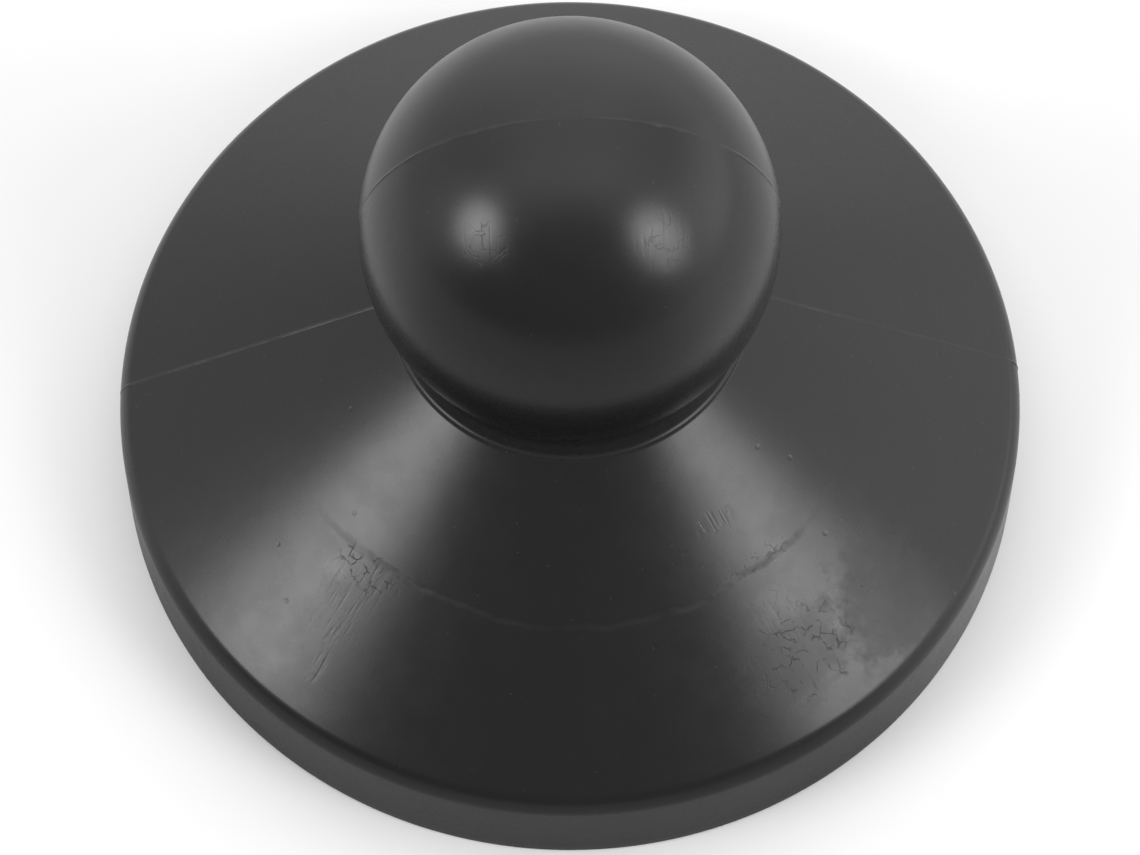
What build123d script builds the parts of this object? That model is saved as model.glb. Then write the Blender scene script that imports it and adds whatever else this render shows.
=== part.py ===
"""Sink plunger: a palm-sized rubber ball on a short neck over a low, wide cup.

The plunger is one rubber moulding. Each zone of it that bends or travels
against the others is a solid of its own, and the zones meet face to face.
Millimetres, +Z up, origin on the axis at the plane of the sealing face.
"""
from build123d import *

import math
import os

# Cup, outside
RIM_RADIUS = 57.5          # foot of the side band
SHOULDER_RADIUS = 57.0     # top of the side band, before it is rounded
SHOULDER_HEIGHT = 13.1
SHOULDER_ROUND = 5.5

# Neck: a low upright foot on the cone, then a cove that runs into the ball
NECK_RADIUS = 21.5
CREASE_HEIGHT = 34.4       # where the neck's foot stands on the cone
FOOT_HEIGHT = 1.8
COVE_RADIUS = 3.0

# Ball
BALL_RADIUS = 24.0
BALL_CENTRE = 51.3

# Cup, inside
WALL_THICKNESS = 5.5       # square to the cone
BAND_THICKNESS = 9.0       # at the shoulder's level
LIP_HEIGHT = 3.0
LIP_SPLAY = 2.5            # how far the lip's inner face opens towards the sink
RIM_EDGE_ROUND = 0.6

# Blind bore from the cup up into the ball
BORE_MOUTH_RADIUS = 13.0
BORE_TOP_RADIUS = 12.0
BORE_TOP_CENTRE = 52.0
BORE_MOUTH_ROUND = 2.0

# Where one zone of the moulding ends and the next begins
BAND_TOP = 14.8
CROWN_UNDERSIDE = 28.0

SLOPE = (CREASE_HEIGHT - SHOULDER_HEIGHT) / (SHOULDER_RADIUS - NECK_RADIUS)
WALL_DROP = WALL_THICKNESS * math.hypot(1, SLOPE)
BAND_INNER_RADIUS = RIM_RADIUS - BAND_THICKNESS

# The cove starts at the foot's top edge and ends tangent to the ball. Its centre is found
# from the ball's centre, where the lines to the foot's edge and to the cove's centre meet.
FOOT_TOP = CREASE_HEIGHT + FOOT_HEIGHT
EDGE_DISTANCE = math.hypot(NECK_RADIUS, FOOT_TOP - BALL_CENTRE)
EDGE_ANGLE = math.atan2(FOOT_TOP - BALL_CENTRE, NECK_RADIUS)
COVE_DISTANCE = BALL_RADIUS + COVE_RADIUS
COVE_TURN = math.acos(
    (EDGE_DISTANCE**2 + COVE_DISTANCE**2 - COVE_RADIUS**2) / (2 * EDGE_DISTANCE * COVE_DISTANCE)
)
COVE_ANGLE = EDGE_ANGLE + COVE_TURN
WAIST_RADIUS = COVE_DISTANCE * math.cos(COVE_ANGLE) - COVE_RADIUS
WAIST_HEIGHT = BALL_CENTRE + COVE_DISTANCE * math.sin(COVE_ANGLE)
NECK_TOP_RADIUS = BALL_RADIUS * math.cos(COVE_ANGLE)
NECK_TOP = BALL_CENTRE + BALL_RADIUS * math.sin(COVE_ANGLE)


def cone_radius(height):
    """Radius of the cup's outer cone at a height."""
    return NECK_RADIUS + (CREASE_HEIGHT - height) / SLOPE


def cavity_radius(height):
    """Radius of the cup's inner cone, one wall's thickness inside the outer one."""
    return cone_radius(height + WALL_DROP)


def cavity_height(radius):
    """Height of the cup's inner cone at a radius."""
    return CREASE_HEIGHT - WALL_DROP - (radius - NECK_RADIUS) * SLOPE


def band_radius(height):
    """Radius of the side band, which flares a little towards its foot."""
    return RIM_RADIUS - (RIM_RADIUS - SHOULDER_RADIUS) * height / SHOULDER_HEIGHT


def turned(corners):
    """A ring or disc turned about Z from the (radius, height) corners of its section."""
    points = [(radius, 0, height) for radius, height in corners]
    return revolve(make_face(Polyline(*points, close=True)), Axis.Z)


def circle_at(shape, radius, height):
    """The circular edges of a turned shape that lie at a radius and a height."""
    def is_there(edge):
        point = edge.position_at(0.3)
        at_radius = abs(math.hypot(point.X, point.Y) - radius) < 0.01
        return at_radius and abs(point.Z - height) < 0.01

    return [edge for edge in shape.edges() if is_there(edge)]


def bore():
    """The space of the blind bore: a slim taper with a domed top."""
    taper = turned([
        (0, CROWN_UNDERSIDE - 1),
        (BORE_MOUTH_RADIUS, CROWN_UNDERSIDE - 1),
        (BORE_MOUTH_RADIUS, CROWN_UNDERSIDE),
        (BORE_TOP_RADIUS, BORE_TOP_CENTRE),
        (0, BORE_TOP_CENTRE),
    ])
    return taper + Pos(0, 0, BORE_TOP_CENTRE) * Sphere(BORE_TOP_RADIUS)


def sealing_lip():
    """Foot of the side band: a flat ring that seals, with its inner face splayed open."""
    lip = turned([
        (BAND_INNER_RADIUS + LIP_SPLAY, 0),
        (RIM_RADIUS, 0),
        (band_radius(LIP_HEIGHT), LIP_HEIGHT),
        (BAND_INNER_RADIUS, LIP_HEIGHT),
    ])
    return fillet(circle_at(lip, RIM_RADIUS, 0), RIM_EDGE_ROUND)


def rim_band():
    """Thick upright band that holds the cup round, with its shoulder rounded."""
    band = turned([
        (BAND_INNER_RADIUS, LIP_HEIGHT),
        (band_radius(LIP_HEIGHT), LIP_HEIGHT),
        (SHOULDER_RADIUS, SHOULDER_HEIGHT),
        (cone_radius(BAND_TOP), BAND_TOP),
        (cavity_radius(BAND_TOP), BAND_TOP),
        (BAND_INNER_RADIUS, cavity_height(BAND_INNER_RADIUS)),
    ])
    return fillet(circle_at(band, SHOULDER_RADIUS, SHOULDER_HEIGHT), SHOULDER_ROUND)


def bell_wall():
    """Sloping wall of the cup, of even thickness, which folds flat on a push."""
    return turned([
        (cavity_radius(BAND_TOP), BAND_TOP),
        (cone_radius(BAND_TOP), BAND_TOP),
        (cone_radius(CROWN_UNDERSIDE), CROWN_UNDERSIDE),
        (cavity_radius(CROWN_UNDERSIDE), CROWN_UNDERSIDE),
    ])


def bell_crown():
    """Thick ring that closes the top of the cup around the bore and carries the neck."""
    disc = turned([
        (0, CROWN_UNDERSIDE),
        (cone_radius(CROWN_UNDERSIDE), CROWN_UNDERSIDE),
        (NECK_RADIUS, CREASE_HEIGHT),
        (0, CREASE_HEIGHT),
    ])
    ring = disc - bore()
    return fillet(circle_at(ring, BORE_MOUTH_RADIUS, CROWN_UNDERSIDE), BORE_MOUTH_ROUND)


def neck():
    """Short collar between the cup and the ball, bored out so that it can bend."""
    foot_edge = (NECK_RADIUS, 0, FOOT_TOP)
    waist = (WAIST_RADIUS, 0, WAIST_HEIGHT)
    ball_edge = (NECK_TOP_RADIUS, 0, NECK_TOP)
    cove = ThreePointArc(foot_edge, waist, ball_edge)
    inside = Polyline(ball_edge, (0, 0, NECK_TOP), (0, 0, CREASE_HEIGHT))
    foot = Polyline((0, 0, CREASE_HEIGHT), (NECK_RADIUS, 0, CREASE_HEIGHT), foot_edge)
    return revolve(make_face(cove + inside + foot), Axis.Z) - bore()


def ball_grip():
    """Ball that the palm pushes on, cut level where it runs into the neck."""
    ball = Pos(0, 0, BALL_CENTRE) * Sphere(BALL_RADIUS)
    return split(ball, Plane.XY.offset(NECK_TOP), keep=Keep.TOP) - bore()


NODES = {
    "sealing_lip": sealing_lip,
    "rim_band": rim_band,
    "bell_wall": bell_wall,
    "bell_crown": bell_crown,
    "neck": neck,
    "ball_grip": ball_grip,
}

os.makedirs("parts", exist_ok=True)
for name, make in NODES.items():
    export_step(make(), f"parts/{name}.step")
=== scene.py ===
import math

import bpy
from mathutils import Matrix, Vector


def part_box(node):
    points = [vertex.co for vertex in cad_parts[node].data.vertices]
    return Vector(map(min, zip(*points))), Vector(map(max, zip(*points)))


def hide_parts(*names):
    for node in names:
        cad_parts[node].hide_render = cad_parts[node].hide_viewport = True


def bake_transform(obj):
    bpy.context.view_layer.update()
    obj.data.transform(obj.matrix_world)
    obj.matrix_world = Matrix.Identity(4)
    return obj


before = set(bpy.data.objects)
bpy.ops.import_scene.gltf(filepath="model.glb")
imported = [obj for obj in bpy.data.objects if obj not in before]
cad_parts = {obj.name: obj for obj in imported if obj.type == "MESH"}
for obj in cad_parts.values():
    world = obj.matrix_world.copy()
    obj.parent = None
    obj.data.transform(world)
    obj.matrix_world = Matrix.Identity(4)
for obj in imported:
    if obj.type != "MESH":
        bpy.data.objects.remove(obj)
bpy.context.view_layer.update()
bpy.context.scene.view_settings.view_transform = "Standard"


# ---------------------------------------------------------------- camera
# A long lens, held above and in front of the plunger and aimed low on its axis, so that
# the round cup fills the frame and the ball stands out against the back of it.
CAMERA_ELEVATION = math.radians(62.8)
CAMERA_AZIMUTH = math.radians(-1.8)
CAMERA_DISTANCE = 0.3434
CAMERA_AIM = Vector((0, 0, 0.029))
towards_camera = Vector((
    math.sin(CAMERA_AZIMUTH) * math.cos(CAMERA_ELEVATION),
    -math.cos(CAMERA_AZIMUTH) * math.cos(CAMERA_ELEVATION),
    math.sin(CAMERA_ELEVATION),
))
camera_data = bpy.data.cameras.new("camera")
camera_data.lens = 89.95
camera_data.sensor_width = 36
camera_data.shift_y = -0.096
camera_data.clip_start = 0.01
camera = bpy.data.objects.new("camera", camera_data)
camera.location = CAMERA_AIM + CAMERA_DISTANCE * towards_camera
camera.rotation_euler = (-towards_camera).to_track_quat("-Z", "Y").to_euler()
bpy.context.scene.collection.objects.link(camera)
bpy.context.scene.camera = camera


# ---------------------------------------------------------------- studio
# A pale floor, evenly pale to the camera but with painted shade in what the rubber mirrors,
# in a pale room whose back and ceiling are bright and whose front is dim, and two soft boxes,
# one at each side and a little in front of the plunger, each with a small lamp at its middle.
FLOOR_SIZE = 6.0
FLOOR_SEEN = (0.94, 0.94, 0.94, 1)
# Painted shade: the camera sees FLOOR_SEEN; reflections show these darker colours, the darkest one
# in front.
FLOOR_MIRRORED = (0.75, 0.75, 0.75, 1)
FLOOR_PAINTED_SHADE = (0.41, 0.41, 0.41, 1)
FLOOR_ROUGHNESS = 0.9
FLOOR_SPECULAR = 0.1
PAINTED_SHADE_DIRECTION = (-0.25, -0.97, 0.0)
PAINTED_SHADE_EDGES = (0.1, 0.75)        # how nearly along it the shade starts, and is full
floor_mesh = bpy.data.meshes.new("floor")
half_floor = FLOOR_SIZE / 2
floor_corners = [(-half_floor, -half_floor, 0), (half_floor, -half_floor, 0)]
floor_corners += [(half_floor, half_floor, 0), (-half_floor, half_floor, 0)]
floor_mesh.from_pydata(floor_corners, [], [(0, 1, 2, 3)])
floor = bpy.data.objects.new("floor", floor_mesh)
bpy.context.scene.collection.objects.link(floor)
floor_paint = bpy.data.materials.new("floor_paint")
floor_paint.use_nodes = True


def add_node(tree, kind, inputs=None, **settings):
    """Adds a shader node with its settings, and fills its inputs with numbers or links."""
    made = tree.nodes.new("ShaderNode" + kind)
    for name, value in settings.items():
        setattr(made, name, value)
    for name, value in (inputs or {}).items():
        if isinstance(value, bpy.types.NodeSocket):
            tree.links.new(value, made.inputs[name])
        else:
            made.inputs[name].default_value = value
    return made


def maths(tree, operation, *values):
    """The result of one Math node."""
    inputs = dict(enumerate(values))
    return add_node(tree, "Math", inputs, operation=operation).outputs["Value"]


def ramp(tree, value, low, high, start=0.0, end=1.0, smooth=False):
    """A value that goes from start to end while another goes from low to high."""
    inputs = {"Value": value, "From Min": low, "From Max": high, "To Min": start, "To Max": end}
    kind = "SMOOTHSTEP" if smooth else "LINEAR"
    return add_node(tree, "MapRange", inputs, interpolation_type=kind).outputs["Result"]


def mix_colours(tree, factor, first, second):
    """One colour blended into another by a factor."""
    mixer = add_node(tree, "Mix", data_type="RGBA")
    for socket, value in (("Factor", factor), ("A", first), ("B", second)):
        target = next(item for item in mixer.inputs if item.name == socket and item.enabled)
        if isinstance(value, bpy.types.NodeSocket):
            tree.links.new(value, target)
        else:
            target.default_value = value
    return next(item for item in mixer.outputs if item.enabled)


# Painted shade: the floor the rubber mirrors is painted darker than the floor the camera sees, and
# darker still in front, standing in for the shade of whoever holds the camera.
floor_tree = floor_paint.node_tree
floor_place = add_node(floor_tree, "TexCoord").outputs["Object"]
floor_bearing = add_node(floor_tree, "VectorMath", {0: floor_place}, operation="NORMALIZE")
towards_painted_shade = add_node(
    floor_tree, "VectorMath", {0: floor_bearing.outputs["Vector"], 1: PAINTED_SHADE_DIRECTION},
    operation="DOT_PRODUCT",
)
painted_shade_share = ramp(floor_tree, towards_painted_shade.outputs["Value"], *PAINTED_SHADE_EDGES, smooth=True)
mirrored = mix_colours(floor_tree, painted_shade_share, FLOOR_MIRRORED, FLOOR_PAINTED_SHADE)
seen = add_node(floor_tree, "LightPath").outputs["Is Camera Ray"]
floor_colour = mix_colours(floor_tree, seen, mirrored, FLOOR_SEEN)
floor_shader = floor_tree.nodes["Principled BSDF"]
floor_shader.inputs["Roughness"].default_value = FLOOR_ROUGHNESS
floor_shader.inputs["Specular IOR Level"].default_value = FLOOR_SPECULAR
floor_tree.links.new(floor_colour, floor_shader.inputs["Base Color"])
floor_mesh.materials.append(floor_paint)

# How bright the room is along each direction, as (direction, brightness): from the front
# wall to the back wall, from the left wall to the right wall, and from the floor upwards.
FRONT_TO_BACK = [
    (-1, 0.27), (-0.75, 0.29), (-0.5, 0.35), (-0.34, 0.64), (-0.16, 1.2), (0, 1.45), (0.25, 1.25),
]
LEFT_TO_RIGHT = [(-1, 0.68), (-0.75, 0.61), (-0.3, 0.90), (0.3, 1.0), (0.75, 0.68), (1, 0.80)]
FLOOR_UPWARDS = [(0, 0.85), (0.3, 1.0)]
RIGHT_WALL_GLOW = 0.5            # more light from the right wall, and from low down on the right
RIGHT_WALL_EDGES = (0.75, 1.0)
LOW_RIGHT_GLOW = 0.30
LOW_RIGHT_EDGES = (0.35, 0.8)
LOW_RIGHT_HEIGHTS = (0.1, 0.45)
room = bpy.data.worlds.new("room")
bpy.context.scene.world = room
room.use_nodes = True
room_tree = room.node_tree
room_direction = add_node(room_tree, "TexCoord").outputs["Generated"]
room_axes = add_node(room_tree, "SeparateXYZ", {"Vector": room_direction}).outputs
brightness = 1.0
for axis, stops in (("Y", FRONT_TO_BACK), ("X", LEFT_TO_RIGHT), ("Z", FLOOR_UPWARDS)):
    place = ramp(room_tree, room_axes[axis], -1, 1)
    shades = add_node(room_tree, "ValToRGB", {"Fac": place})
    while len(shades.color_ramp.elements) < len(stops):
        shades.color_ramp.elements.new(0.5)
    for element, (direction, shade) in zip(shades.color_ramp.elements, stops):
        element.position = (direction + 1) / 2
        element.color = (shade, shade, shade, 1)
    brightness = maths(room_tree, "MULTIPLY", brightness, shades.outputs["Color"])
glow = ramp(room_tree, room_axes["X"], *RIGHT_WALL_EDGES, end=RIGHT_WALL_GLOW)
brightness = maths(room_tree, "ADD", brightness, glow)
low_glow = ramp(room_tree, room_axes["X"], *LOW_RIGHT_EDGES, end=LOW_RIGHT_GLOW)
low_share = ramp(room_tree, room_axes["Z"], *LOW_RIGHT_HEIGHTS, start=1.0, end=0.0)
brightness = maths(room_tree, "MULTIPLY_ADD", low_glow, low_share, brightness)
room_tree.links.new(brightness, room_tree.nodes["Background"].inputs["Strength"])
room_tree.nodes["Background"].inputs["Color"].default_value = (1, 1, 1, 1)

SOFT_BOXES = {
    "left_box": {"azimuth": -69.5, "elevation": 38, "width": 0.39, "height": 0.39, "power": 1.85},
    "left_lamp": {"azimuth": -70, "elevation": 38, "width": 0.16, "height": 0.16, "power": 0.25},
    "right_box": {"azimuth": 60, "elevation": 36, "width": 0.38, "height": 0.56, "power": 2.25},
    "right_lamp": {"azimuth": 60, "elevation": 40, "width": 0.16, "height": 0.16, "power": 0.25},
}
SOFT_BOX_DISTANCE = 0.9
for name, box in SOFT_BOXES.items():
    light_data = bpy.data.lights.new(name, "AREA")
    light_data.shape = "ELLIPSE"
    light_data.size = box["width"]
    light_data.size_y = box["height"]
    light_data.energy = box["power"]
    light = bpy.data.objects.new(name, light_data)
    azimuth = math.radians(box["azimuth"])
    elevation = math.radians(box["elevation"])
    towards_light = Vector((
        math.sin(azimuth) * math.cos(elevation),
        -math.cos(azimuth) * math.cos(elevation),
        math.sin(elevation),
    ))
    light.location = SOFT_BOX_DISTANCE * towards_light
    light.rotation_euler = (-towards_light).to_track_quat("-Z", "Y").to_euler()
    bpy.context.scene.collection.objects.link(light)


# ---------------------------------------------------------------- bell
# The cup: a moulded rubber cone with a thick upright band at its edge and a flat ring
# below that seals on the sink. It is hollow, and bored at the top. The wall folds on a
# push.
RIDGE_ROOM = 0.00018             # the flash line stands proud of the moulding by less
RIM_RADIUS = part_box("sealing_lip")[1].x - RIDGE_ROOM
SHOULDER_RADIUS = 0.0566 - RIDGE_ROOM
SHOULDER_HEIGHT = 0.0133
SHOULDER_ROUND = 0.0018          # each of these is the length along each side of its corner
RIM_FOOT_ROUND = 0.0005
BORE_MOUTH_ROUND = 0.0020
CEILING_EDGE_ROUND = 0.0015
BAND_TOP_ROUND = 0.0020
BAND_INNER_RADIUS = 0.0485
BAND_INNER_TOP = 0.0118
LIP_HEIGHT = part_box("sealing_lip")[1].z
LIP_SPLAY = 0.0025
CREASE_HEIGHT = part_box("neck")[0].z
NECK_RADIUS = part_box("neck")[1].x
CEILING_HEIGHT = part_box("bell_crown")[0].z
CEILING_RADIUS = 0.0215
BORE_MOUTH_RADIUS = 0.0130
BORE_TOP_RADIUS = 0.0120
BORE_TOP_HEIGHT = 0.0520
BELL_EDGE_LENGTH = 0.0014        # the longest edge in the outline's straight stretches
SMOOTH_ANGLE = math.radians(30)

RUBBER_BLACK = (0.0092, 0.0092, 0.0092, 1)
RUBBER_DUST = (0.060, 0.060, 0.060, 1)
RUBBER_SHINE = 0.27              # roughness of the moulded skin
GRAIN_HEIGHT = 6.0e-7
CRACK_WANDER = 0.0012            # how far the cracks stray from the edges of their cells
WANDER_SCALE = 900.0
DUST_SPECKS = 0.7                # how dusty a speck is


def new_group(name, inputs, outputs):
    """A shader node group, with its tree and its input and output nodes."""
    tree = bpy.data.node_groups.new(name, "ShaderNodeTree")
    for label, (kind, value) in inputs.items():
        socket = tree.interface.new_socket(label, in_out="INPUT", socket_type=kind)
        socket.default_value = value
    for label in outputs:
        tree.interface.new_socket(label, in_out="OUTPUT", socket_type="NodeSocketFloat")
    return tree, tree.nodes.new("NodeGroupInput").outputs, tree.nodes.new("NodeGroupOutput").inputs


def noise(tree, place, size, detail=2.0, roughness=0.5):
    """Cloudy noise from 0 to 1, with features of a size in metres."""
    scale = maths(tree, "DIVIDE", 1.0, size)
    inputs = {"Vector": place, "Scale": scale, "Detail": detail, "Roughness": roughness}
    return add_node(tree, "TexNoise", inputs).outputs["Fac"]


FLOAT = "NodeSocketFloat"
VECTOR = "NodeSocketVector"

# Skin of a moulding: fine grain, a slight orange peel, and patches of more or less shine.
skin, skin_in, skin_out = new_group(
    "moulded_skin",
    {"Grain Size": (FLOAT, 0.00025), "Peel Size": (FLOAT, 0.004), "Peel Height": (FLOAT, 1.4e-5),
     "Shine": (FLOAT, RUBBER_SHINE), "Patchiness": (FLOAT, 0.11)},
    ["Height", "Roughness"],
)
place = add_node(skin, "TexCoord").outputs["Object"]
grain = maths(skin, "SUBTRACT", noise(skin, place, skin_in["Grain Size"]), 0.5)
peel = maths(skin, "SUBTRACT", noise(skin, place, skin_in["Peel Size"], detail=3), 0.5)
patches = noise(skin, place, skin_in["Peel Size"], detail=4, roughness=0.60)
patches = maths(skin, "SUBTRACT", patches, 0.5)
grain_height = maths(skin, "MULTIPLY", grain, GRAIN_HEIGHT)
peel_height = maths(skin, "MULTIPLY", peel, skin_in["Peel Height"])
skin.links.new(maths(skin, "ADD", grain_height, peel_height), skin_out["Height"])
patch_shine = maths(skin, "MULTIPLY_ADD", patches, skin_in["Patchiness"], skin_in["Shine"])
skin.links.new(patch_shine, skin_out["Roughness"])

# Specks of dust and grit: one in some of the cells of a Voronoi pattern.
specks, specks_in, specks_out = new_group(
    "dust_specks", {"Cell Size": (FLOAT, 0.0012), "Share": (FLOAT, 0.2)}, ["Specks"]
)
place = add_node(specks, "TexCoord").outputs["Object"]
cell_scale = maths(specks, "DIVIDE", 1.0, specks_in["Cell Size"])
cells = add_node(specks, "TexVoronoi", {"Vector": place, "Scale": cell_scale})
dots = ramp(specks, cells.outputs["Distance"], 0.05, 0.09, start=1.0, end=0.0)
chance = add_node(specks, "SeparateColor", {"Color": cells.outputs["Color"]}).outputs["Red"]
chosen = maths(specks, "LESS_THAN", chance, specks_in["Share"])
specks.links.new(maths(specks, "MULTIPLY", dots, chosen), specks_out["Specks"])

# Marks of use, the same all over: hairline cracks in short stretches along the edges of
# ragged cells, and scratches brushed along Y once the surface is turned about Z.
marks, marks_in, marks_out = new_group(
    "use_marks",
    {"Turn": (FLOAT, 0.0), "Crack Size": (FLOAT, 0.0015), "Crack Width": (FLOAT, 0.055)},
    ["Cracks", "Scratches", "Ragged"],
)
place = add_node(marks, "TexCoord").outputs["Object"]
ragged = maths(marks, "SUBTRACT", noise(marks, place, 0.0022, detail=4, roughness=0.65), 0.5)
marks.links.new(ragged, marks_out["Ragged"])
wander = add_node(marks, "TexNoise", {"Vector": place, "Scale": WANDER_SCALE, "Detail": 3.0})
wandered = add_node(
    marks, "VectorMath", {0: wander.outputs["Color"], 1: (CRACK_WANDER,) * 3, 2: place},
    operation="MULTIPLY_ADD",
)
crack_scale = maths(marks, "DIVIDE", 1.0, marks_in["Crack Size"])
crack_cells = add_node(
    marks, "TexVoronoi", {"Vector": wandered.outputs["Vector"], "Scale": crack_scale},
    feature="DISTANCE_TO_EDGE",
)
from_edge = crack_cells.outputs["Distance"]
cracks = ramp(marks, from_edge, 0.0, marks_in["Crack Width"], start=1.0, end=0.0)
broken = ramp(marks, noise(marks, place, 0.0013), 0.47, 0.55)
marks.links.new(maths(marks, "MULTIPLY", cracks, broken), marks_out["Cracks"])
turned_place = add_node(
    marks, "VectorRotate", {"Vector": place, "Angle": marks_in["Turn"]}, rotation_type="Z_AXIS"
).outputs["Vector"]
brushed_place = add_node(
    marks, "VectorMath", {0: turned_place, 1: (1.0, 0.10, 0.10)}, operation="MULTIPLY"
).outputs["Vector"]
scratches = ramp(marks, noise(marks, brushed_place, 0.0005, detail=2), 0.50, 0.68)
marks.links.new(scratches, marks_out["Scratches"])

# The soft, ragged outline of a worn patch about a centre.
patch, patch_in, patch_out = new_group(
    "worn_patch",
    {"Centre": (VECTOR, (0, 0, 0)), "Reach": (VECTOR, (0.005, 0.005, 0.005)),
     "Turn": (FLOAT, 0.0), "Ragged": (FLOAT, 0.0)},
    ["Patch"],
)
place = add_node(patch, "TexCoord").outputs["Object"]
offset = add_node(patch, "VectorMath", {0: place, 1: patch_in["Centre"]}, operation="SUBTRACT")
turned_offset = add_node(
    patch, "VectorRotate", {"Vector": offset.outputs["Vector"], "Angle": patch_in["Turn"]},
    rotation_type="Z_AXIS",
).outputs["Vector"]
shares = add_node(patch, "VectorMath", {0: turned_offset, 1: patch_in["Reach"]}, operation="DIVIDE")
distance = add_node(patch, "VectorMath", {0: shares.outputs["Vector"]}, operation="LENGTH")
ragged_distance = maths(patch, "MULTIPLY_ADD", patch_in["Ragged"], 1.4, distance.outputs["Value"])
inside = ramp(patch, ragged_distance, 0.45, 1.05, start=1.0, end=0.0, smooth=True)
patch.links.new(inside, patch_out["Patch"])


def add_group(tree, group, **inputs):
    """Places a node group in a material, and gives its outputs."""
    made = tree.nodes.new("ShaderNodeGroup")
    made.node_tree = group
    for name, value in inputs.items():
        socket = made.inputs[name.replace("_", " ")]
        if isinstance(value, bpy.types.NodeSocket):
            tree.links.new(value, socket)
        else:
            socket.default_value = value
    return made.outputs


def finish_rubber(tree, roughness, dust, height):
    """Joins a material's shine, dust and surface height to its shader."""
    shader = tree.nodes["Principled BSDF"]
    tree.links.new(mix_colours(tree, dust, RUBBER_BLACK, RUBBER_DUST), shader.inputs["Base Color"])
    tree.links.new(roughness, shader.inputs["Roughness"])
    bump = add_node(tree, "Bump", {"Height": height, "Distance": 1.0})
    tree.links.new(bump.outputs["Normal"], shader.inputs["Normal"])


def bore_radius(height):
    """Radius of the slightly tapered bore at a height."""
    share = (height - CEILING_HEIGHT) / (BORE_TOP_HEIGHT - CEILING_HEIGHT)
    return BORE_MOUTH_RADIUS + (BORE_TOP_RADIUS - BORE_MOUTH_RADIUS) * share


def start_section(name, radius, height):
    """A new mesh with one vertex, selected in edit mode, where a section's outline starts."""
    bpy.ops.object.select_all(action="DESELECT")
    bpy.ops.mesh.primitive_plane_add(size=0.001, location=(0, 0, 0))
    piece = bpy.context.object
    piece.name = name
    piece.data.name = name
    bpy.ops.object.mode_set(mode="EDIT")
    bpy.ops.mesh.merge(type="CENTER")
    bpy.ops.transform.translate(value=(radius, 0, height))
    return piece


def draw_line(start, end, steps=1):
    """Extrudes the selected vertex in equal steps from one (radius, height) to another."""
    step = ((end[0] - start[0]) / steps, 0, (end[1] - start[1]) / steps)
    for _ in range(steps):
        bpy.ops.mesh.extrude_vertices_move(TRANSFORM_OT_translate={"value": step})


def draw_arc(centre, turn, steps):
    """Extrudes the selected vertex round a (radius, height) centre; a positive turn is
    anticlockwise in the section, with the radius to the right and the height upwards."""
    middle = (centre[0], 0, centre[1])
    bpy.ops.mesh.spin(steps=steps, angle=turn, center=middle, axis=(0, 1, 0))


def round_corner(piece, corner, offset, segments):
    """Rounds one corner of a section's outline."""
    bpy.ops.mesh.select_all(action="DESELECT")
    bpy.ops.object.mode_set(mode="OBJECT")
    for vertex in piece.data.vertices:
        vertex.select = (vertex.co - Vector((corner[0], 0, corner[1]))).length < 1e-6
    bpy.ops.object.mode_set(mode="EDIT")
    bpy.ops.mesh.bevel(offset=offset, offset_pct=0, segments=segments, affect="VERTICES")


def divide_lines(piece, longest):
    """Halves the outline's straight edges until none is longer than a length."""
    bpy.ops.mesh.select_mode(type="EDGE")
    while True:
        bpy.ops.mesh.select_all(action="DESELECT")
        bpy.ops.object.mode_set(mode="OBJECT")
        places = [vertex.co for vertex in piece.data.vertices]
        for edge in piece.data.edges:
            first, last = edge.vertices
            edge.select = (places[first] - places[last]).length > longest
        found = any(edge.select for edge in piece.data.edges)
        bpy.ops.object.mode_set(mode="EDIT")
        if not found:
            break
        bpy.ops.mesh.subdivide(number_cuts=1)
    bpy.ops.mesh.select_mode(type="VERT")


# Columns of faces stand closest at the flash line, which the section starts on.
FLASH_STEPS = [math.radians(step) for step in (0.08, 0.08, 0.09, 0.15, 0.25, 0.35)]
PLAIN_COLUMNS = 126
PLAIN_STEP = (math.pi - 2 * sum(FLASH_STEPS)) / PLAIN_COLUMNS


def turn_section(piece):
    """Spins the outline about the axis in two half turns and closes it to a solid."""
    bpy.ops.mesh.select_all(action="SELECT")
    for _ in range(2):
        turns = [(1, step) for step in FLASH_STEPS]
        turns += [(PLAIN_COLUMNS, PLAIN_STEP * PLAIN_COLUMNS)]
        turns += [(1, step) for step in reversed(FLASH_STEPS)]
        for steps, angle in turns:
            bpy.ops.mesh.spin(steps=steps, angle=angle, center=(0, 0, 0), axis=(0, 0, 1))
    bpy.ops.mesh.select_all(action="SELECT")
    bpy.ops.mesh.remove_doubles(threshold=1e-6)
    bpy.ops.mesh.normals_make_consistent(inside=False)
    bpy.ops.object.mode_set(mode="OBJECT")


FLASH_HEIGHT = 0.00016
FLASH_HALF_WIDTH = 0.00014
FLASH_START = 0.0008             # height where it begins, clear of the sealing ring
ragged_flash = bpy.data.textures.new("ragged_flash", "CLOUDS")
ragged_flash.noise_scale = 0.0012


def push_skin(piece, name, weigh, height, texture=None):
    """Pushes the skin of a piece out along its normals, by a height times each vertex's
    weight, which weigh works out from the vertex's place and normal."""
    group = piece.vertex_groups.new(name=name)
    for vertex in piece.data.vertices:
        weight = weigh(vertex.co, vertex.normal)
        if weight > 0.01:
            group.add([vertex.index], min(weight, 1.0), "REPLACE")
    bpy.ops.object.modifier_add(type="DISPLACE")
    push = piece.modifiers[-1]
    push.vertex_group = name
    push.texture = texture
    push.texture_coords = "LOCAL"
    push.mid_level = 0.0
    push.strength = height
    bpy.ops.object.modifier_apply(modifier=push.name)


def flash_weight(place, normal):
    """Weight of the flash line, which runs round the outer skin where the mould parts."""
    outward = normal.x * place.x + normal.y * place.y > 0.1 * math.hypot(place.x, place.y)
    above_floor = place.z > FLASH_START
    return math.exp(-(place.y / FLASH_HALF_WIDTH) ** 2) * outward * above_floor


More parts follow.
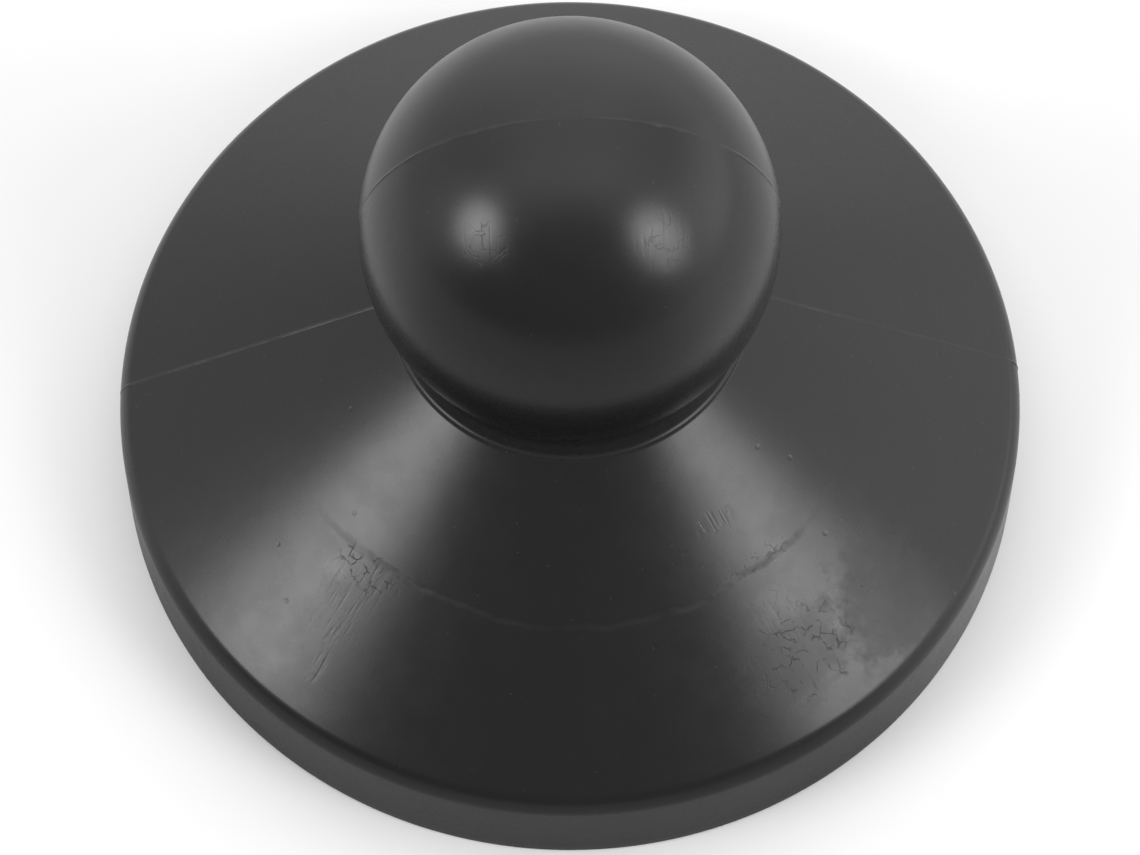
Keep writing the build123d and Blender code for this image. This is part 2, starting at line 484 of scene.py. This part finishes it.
rim_foot = (RIM_RADIUS, 0.0)
shoulder = (SHOULDER_RADIUS, SHOULDER_HEIGHT)
crease = (NECK_RADIUS, CREASE_HEIGHT)
bore_top = (bore_radius(CREASE_HEIGHT), CREASE_HEIGHT)
bore_mouth = (BORE_MOUTH_RADIUS, CEILING_HEIGHT)
ceiling_edge = (CEILING_RADIUS, CEILING_HEIGHT)
band_inner_top = (BAND_INNER_RADIUS, BAND_INNER_TOP)
band_inner_foot = (BAND_INNER_RADIUS, LIP_HEIGHT)
lip_edge = (BAND_INNER_RADIUS + LIP_SPLAY, 0.0)

bell = start_section("bell", *rim_foot)
draw_line(rim_foot, shoulder)
draw_line(shoulder, crease)
draw_line(crease, bore_top)
draw_line(bore_top, bore_mouth)
draw_line(bore_mouth, ceiling_edge)
draw_line(ceiling_edge, band_inner_top)
draw_line(band_inner_top, band_inner_foot)
draw_line(band_inner_foot, lip_edge)
draw_line(lip_edge, rim_foot)
bpy.ops.mesh.select_all(action="SELECT")
bpy.ops.mesh.remove_doubles(threshold=1e-6)
round_corner(bell, shoulder, SHOULDER_ROUND, 24)
round_corner(bell, rim_foot, RIM_FOOT_ROUND, 6)
round_corner(bell, bore_mouth, BORE_MOUTH_ROUND, 8)
round_corner(bell, ceiling_edge, CEILING_EDGE_ROUND, 6)
round_corner(bell, band_inner_top, BAND_TOP_ROUND, 8)
divide_lines(bell, BELL_EDGE_LENGTH)
turn_section(bell)
push_skin(bell, "flash", flash_weight, FLASH_HEIGHT, ragged_flash)
bpy.ops.object.shade_smooth_by_angle(angle=SMOOTH_ANGLE)

# The wall has taken a faint crease in front, where it folds on each push, and is worn there.
FOLD_RADIUS = 0.0376
FOLD_HALF_WIDTH = 0.00055
FOLD_DEPTH = 2.4e-5
FOLD_DULLNESS = 0.08
FOLD_WANDER = 0.0030             # the fold strays by this much in all from its circle
FOLD_FRONT = (-0.80, -0.50)      # it is whole in front of the first, and gone past the second
DENT_DEPTH = 1.6e-5
CRACK_DEPTH = 1.2e-5
SCRATCH_DEPTH = 1.1e-5
SCRATCH_DUST = 0.10
CRACK_DULLNESS = 0.20
LEFT_TURN = 40                   # brings the streaks that run down the cone onto Y
LEFT_WEAR = {
    "fold": {
        "centre": (-0.0247, -0.0298, 0.0235), "reach": (0.0056, 0.0024, 0.0030),
        "cracks": 1.0, "scratches": 0.3, "dust": 0.04,
    },
    "pale_edge": {
        "centre": (-0.0285, -0.0292, 0.0224), "reach": (0.0026, 0.0012, 0.0020),
        "cracks": 0.0, "scratches": 0.5, "dust": 0.45,
    },
    "brushed": {
        "centre": (-0.0276, -0.0330, 0.0208), "reach": (0.0044, 0.0062, 0.0060),
        "cracks": 0.15, "scratches": 0.7, "dust": 0.0,
    },
    "dab": {
        "centre": (-0.0307, -0.0388, 0.0169), "reach": (0.0014, 0.0028, 0.0022),
        "cracks": 0.3, "scratches": 1.0, "dust": 0.22,
    },
    "rubbed": {
        "centre": (-0.0368, -0.0352, 0.0160), "reach": (0.0056, 0.0036, 0.0036),
        "cracks": 0.0, "scratches": 0.1, "dust": 0.35,
    },
}
RIGHT_TURN = -33
RIGHT_WEAR = {
    "fold": {
        "centre": (0.0213, -0.0303, 0.0247), "reach": (0.0080, 0.0014, 0.0030),
        "cracks": 0.6, "scratches": 0.4, "dust": 0.0,
    },
    "rubbed": {
        "centre": (0.0236, -0.0355, 0.0212), "reach": (0.0044, 0.0040, 0.0040),
        "cracks": 0.3, "scratches": 0.4, "dust": 0.30,
    },
    "scuffed": {
        "centre": (0.0255, -0.0395, 0.0180), "reach": (0.0085, 0.0066, 0.0060),
        "cracks": 0.9, "scratches": 0.2, "dust": 0.04, "dull": 0.07,
    },
    "dulled": {
        "centre": (0.0363, -0.0330, 0.0175), "reach": (0.0085, 0.0110, 0.0080),
        "cracks": 0.2, "scratches": 0.1, "dust": 0.0, "dull": 0.11,
    },
    "scratched": {
        "centre": (0.0161, -0.0267, 0.0284), "reach": (0.0032, 0.0014, 0.0020),
        "cracks": 0.5, "scratches": 1.0, "dust": 0.0,
    },
}


def add_wear(tree, turn, places, roughness, dust, height):
    """Adds worn patches to a material's shine, dust and height, and gives all three back."""
    angle = math.radians(turn)
    use = add_group(tree, marks, Turn=angle)
    for worn in places.values():
        patch_mask = add_group(
            tree, patch, Centre=worn["centre"], Reach=worn["reach"], Turn=angle,
            Ragged=use["Ragged"],
        )["Patch"]
        cracks = maths(tree, "MULTIPLY", patch_mask, worn["cracks"])
        cracks = maths(tree, "MULTIPLY", cracks, use["Cracks"])
        scratches = maths(tree, "MULTIPLY", patch_mask, worn["scratches"])
        scratches = maths(tree, "MULTIPLY", scratches, use["Scratches"])
        height = maths(tree, "MULTIPLY_ADD", cracks, -CRACK_DEPTH, height)
        height = maths(tree, "MULTIPLY_ADD", scratches, -SCRATCH_DEPTH, height)
        dust = maths(tree, "MULTIPLY_ADD", patch_mask, worn["dust"], dust)
        dust = maths(tree, "MULTIPLY_ADD", scratches, SCRATCH_DUST, dust)
        roughness = maths(tree, "MULTIPLY_ADD", cracks, CRACK_DULLNESS, roughness)
        roughness = maths(tree, "MULTIPLY_ADD", patch_mask, worn.get("dull", 0.0), roughness)
    return roughness, dust, height


bell_rubber = bpy.data.materials.new("bell_rubber")
bell_rubber.use_nodes = True
tree = bell_rubber.node_tree
bell_skin = add_group(tree, skin)
place = add_node(tree, "TexCoord").outputs["Object"]
axes = add_node(tree, "SeparateXYZ", {"Vector": place}).outputs
flat_place = add_node(tree, "VectorMath", {0: place, 1: (1, 1, 0)}, operation="MULTIPLY")
radius = add_node(tree, "VectorMath", {0: flat_place.outputs["Vector"]}, operation="LENGTH")
radius = radius.outputs["Value"]
front_share = maths(tree, "DIVIDE", axes["Y"], radius)
in_front = ramp(tree, front_share, *FOLD_FRONT, start=1.0, end=0.0)
wandering = noise(tree, place, 0.009, detail=4)
wandering = maths(tree, "MULTIPLY_ADD", wandering, FOLD_WANDER, -FOLD_WANDER / 2)
from_fold = maths(tree, "SUBTRACT", maths(tree, "ADD", radius, wandering), FOLD_RADIUS)
from_fold = maths(tree, "ABSOLUTE", from_fold)
fold = ramp(tree, from_fold, 0.0, FOLD_HALF_WIDTH, start=1.0, end=0.0, smooth=True)
fold = maths(tree, "MULTIPLY", fold, in_front)
fold = maths(tree, "MULTIPLY", fold, ramp(tree, noise(tree, place, 0.004), 0.25, 0.50))
height = maths(tree, "MULTIPLY_ADD", fold, -FOLD_DEPTH, bell_skin["Height"])
dents = add_group(tree, specks, Cell_Size=0.0040, Share=0.5)["Specks"]
height = maths(tree, "MULTIPLY_ADD", dents, -DENT_DEPTH, height)
dust = maths(tree, "MULTIPLY", add_group(tree, specks)["Specks"], DUST_SPECKS)
roughness = maths(tree, "MULTIPLY_ADD", fold, FOLD_DULLNESS, bell_skin["Roughness"])
left_worn = add_wear(tree, LEFT_TURN, LEFT_WEAR, roughness, dust, height)
finish_rubber(tree, *add_wear(tree, RIGHT_TURN, RIGHT_WEAR, *left_worn))
bell.data.materials.append(bell_rubber)
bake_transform(bell)
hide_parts("sealing_lip", "rim_band", "bell_wall", "bell_crown")


# ---------------------------------------------------------------- neck
# The collar between cup and ball, in the same moulding: a low ledge round its foot, then a
# cove that runs into the underside of the ball. It bends when the ball is rocked.
FOOT_TOP = CREASE_HEIGHT + 0.0018
COVE_RADIUS = 0.0030             # from the neck's full radius at that height to the ball
WAIST_ROUND = 0.0012             # each of these is the length along each side of its corner
LEDGE_ROUND = 0.00015
CREASE_ROUND = 0.00015
LEDGE_RISE = 0.0006
LEDGE_DRAFT = 0.0001
LEDGE_DEPTH = 0.0004
CREASE_SKIRT = 0.0007            # how far the collar's lower edge runs down on the cone
SKIRT_SINK = 0.00001             # and how far it sinks in there
NECK_EDGE_LENGTH = 0.0007
NECK_PEEL = 8e-6
NECK_SPECK_SHARE = 0.5
NECK_SPECKS = 0.8
NECK_DUST = 0.08
BALL_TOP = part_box("ball_grip")[1].z
BALL_RADIUS = 0.0240
BALL_CENTRE = BALL_TOP - BALL_RADIUS
NECK_END = 0.0405                # where the mesh of the neck meets that of the ball

edge_distance = math.hypot(NECK_RADIUS, FOOT_TOP - BALL_CENTRE)
edge_angle = math.atan2(FOOT_TOP - BALL_CENTRE, NECK_RADIUS)
cove_distance = BALL_RADIUS + COVE_RADIUS
cove_share = edge_distance**2 + cove_distance**2 - COVE_RADIUS**2
cove_angle = edge_angle + math.acos(cove_share / (2 * edge_distance * cove_distance))
cove_centre = (
    cove_distance * math.cos(cove_angle),
    BALL_CENTRE + cove_distance * math.sin(cove_angle),
)
ledge_edge = (NECK_RADIUS - LEDGE_DRAFT, CREASE_HEIGHT + LEDGE_RISE)
ledge_end = (NECK_RADIUS - LEDGE_DEPTH, CREASE_HEIGHT + LEDGE_RISE + LEDGE_DRAFT)
waist = (cove_centre[0] - COVE_RADIUS, cove_centre[1])
cove_end = (BALL_RADIUS * math.cos(cove_angle), BALL_CENTRE + BALL_RADIUS * math.sin(cove_angle))
neck_end_angle = math.asin((NECK_END - BALL_CENTRE) / BALL_RADIUS)
neck_end = (BALL_RADIUS * math.cos(neck_end_angle), NECK_END)
neck_bore_end = (bore_radius(NECK_END), NECK_END)

cone_slope = (CREASE_HEIGHT - SHOULDER_HEIGHT) / (SHOULDER_RADIUS - NECK_RADIUS)
skirt = (NECK_RADIUS + CREASE_SKIRT, CREASE_HEIGHT - CREASE_SKIRT * cone_slope - SKIRT_SINK)
collar = start_section("neck_collar", *skirt)
draw_line(skirt, crease)
draw_line(crease, ledge_edge)
draw_line(ledge_edge, ledge_end)
draw_line(ledge_end, waist)
draw_line(waist, cove_end)
draw_arc((0, BALL_CENTRE), neck_end_angle - cove_angle, 4)
draw_line(neck_end, neck_bore_end)
draw_line(neck_bore_end, (bore_top[0], skirt[1]))
draw_line((bore_top[0], skirt[1]), skirt)
bpy.ops.mesh.select_all(action="SELECT")
bpy.ops.mesh.remove_doubles(threshold=1e-6)
round_corner(collar, crease, CREASE_ROUND, 4)
round_corner(collar, ledge_edge, LEDGE_ROUND, 5)
round_corner(collar, ledge_end, LEDGE_ROUND, 5)
round_corner(collar, waist, WAIST_ROUND, 10)
divide_lines(collar, NECK_EDGE_LENGTH)
turn_section(collar)
push_skin(collar, "flash", flash_weight, FLASH_HEIGHT, ragged_flash)
bpy.ops.object.shade_smooth_by_angle(angle=SMOOTH_ANGLE)

collar_rubber = bpy.data.materials.new("collar_rubber")
collar_rubber.use_nodes = True
tree = collar_rubber.node_tree
collar_skin = add_group(tree, skin, Peel_Height=NECK_PEEL)
dust = add_group(tree, specks, Share=NECK_SPECK_SHARE)["Specks"]
dust = maths(tree, "MULTIPLY_ADD", dust, NECK_SPECKS, NECK_DUST)
finish_rubber(tree, collar_skin["Roughness"], dust, collar_skin["Height"])
collar.data.materials.append(collar_rubber)
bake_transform(collar)
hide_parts("neck")


# ---------------------------------------------------------------- ball
# The grip: a rubber ball that fills the palm, bored from below. A low flash line crosses
# it, and stops either side of the trimmed gate on top, where the rubber was let in.
BORE_DOME_TOP = BORE_TOP_HEIGHT + BORE_TOP_RADIUS
GATE_TURN = math.radians(6)
GATE_RADIUS = 0.0013
GATE_EDGE = 0.0002
GATE_DEPTH = 0.00003
FLASH_FADE = 0.0030              # the flash line thins out towards the gate
THICK_FLASH = -0.0165            # where along X the flash line is thick
THICK_FLASH_LENGTH = 0.0006
FLASH_SHARE = 0.7                # of the flash line's height on the bell
THICK_FLASH_SHARE = 0.6          # on top of that at the thick spot
BALL_PEEL = 8e-6
HANDLED_DUST = 0.03              # the hand has dulled the whole ball a little
REAR_DULLNESS = 0.03             # the rear half of the mould left it a little duller still
REAR_DUST = 0.08
SEAM_HALF_WIDTH = 0.0001

ball = start_section("ball", 0.0, BORE_DOME_TOP)
draw_arc((0, BORE_TOP_HEIGHT), -math.pi / 2, 16)
draw_line((BORE_TOP_RADIUS, BORE_TOP_HEIGHT), neck_bore_end, 8)
draw_line(neck_bore_end, neck_end, 4)
draw_arc((0, BALL_CENTRE), math.pi / 2 - GATE_TURN - neck_end_angle, 90)
draw_arc((0, BALL_CENTRE), GATE_TURN, 18)
turn_section(ball)


def ball_flash_weight(place, normal):
    """Weight of the flash line on the ball: none at the gate, and more at one thick spot."""
    from_gate = math.hypot(place.x, place.y)
    thickness = math.exp(-((place.x - THICK_FLASH) / THICK_FLASH_LENGTH) ** 2)
    share = FLASH_SHARE + THICK_FLASH_SHARE * thickness
    share *= min(1.0, max(0.0, (from_gate - GATE_RADIUS) / FLASH_FADE))
    is_skin = normal.dot(place - Vector((0, 0, BALL_CENTRE))) > 0
    return share * is_skin * math.exp(-(place.y / FLASH_HALF_WIDTH) ** 2)


def gate_weight(place, normal):
    """Weight of the shallow round mark that the trimmed gate left on top of the ball."""
    inside = (GATE_RADIUS - math.hypot(place.x, place.y)) / GATE_EDGE
    return (place.z > BALL_CENTRE + BALL_RADIUS / 2) * min(1.0, max(0.0, inside))


push_skin(ball, "flash", ball_flash_weight, FLASH_HEIGHT, ragged_flash)
push_skin(ball, "gate", gate_weight, -GATE_DEPTH)
bpy.ops.object.shade_smooth_by_angle(angle=SMOOTH_ANGLE)

BALL_WEAR = {
    "nicked_left": {
        "centre": (-0.0094, -0.0118, 0.0700), "reach": (0.0036, 0.0030, 0.0030),
        "cracks": 0.6, "scratches": 0.5, "dust": 0.05,
    },
    "nicked_right": {
        "centre": (0.0098, -0.0122, 0.0696), "reach": (0.0042, 0.0034, 0.0034),
        "cracks": 0.4, "scratches": 0.5, "dust": 0.05,
    },
}
ball_rubber = bpy.data.materials.new("ball_rubber")
ball_rubber.use_nodes = True
tree = ball_rubber.node_tree
ball_skin = add_group(tree, skin, Peel_Height=BALL_PEEL)
place = add_node(tree, "TexCoord").outputs["Object"]
axes = add_node(tree, "SeparateXYZ", {"Vector": place}).outputs
rear_half = ramp(tree, axes["Y"], -SEAM_HALF_WIDTH, SEAM_HALF_WIDTH)
roughness = maths(tree, "MULTIPLY_ADD", rear_half, REAR_DULLNESS, ball_skin["Roughness"])
dust = maths(tree, "MULTIPLY", add_group(tree, specks)["Specks"], DUST_SPECKS)
dust = maths(tree, "MULTIPLY_ADD", rear_half, REAR_DUST, dust)
dust = maths(tree, "ADD", dust, HANDLED_DUST)
finish_rubber(tree, *add_wear(tree, 0, BALL_WEAR, roughness, dust, ball_skin["Height"]))
ball.data.materials.append(ball_rubber)
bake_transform(ball)
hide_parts("ball_grip")
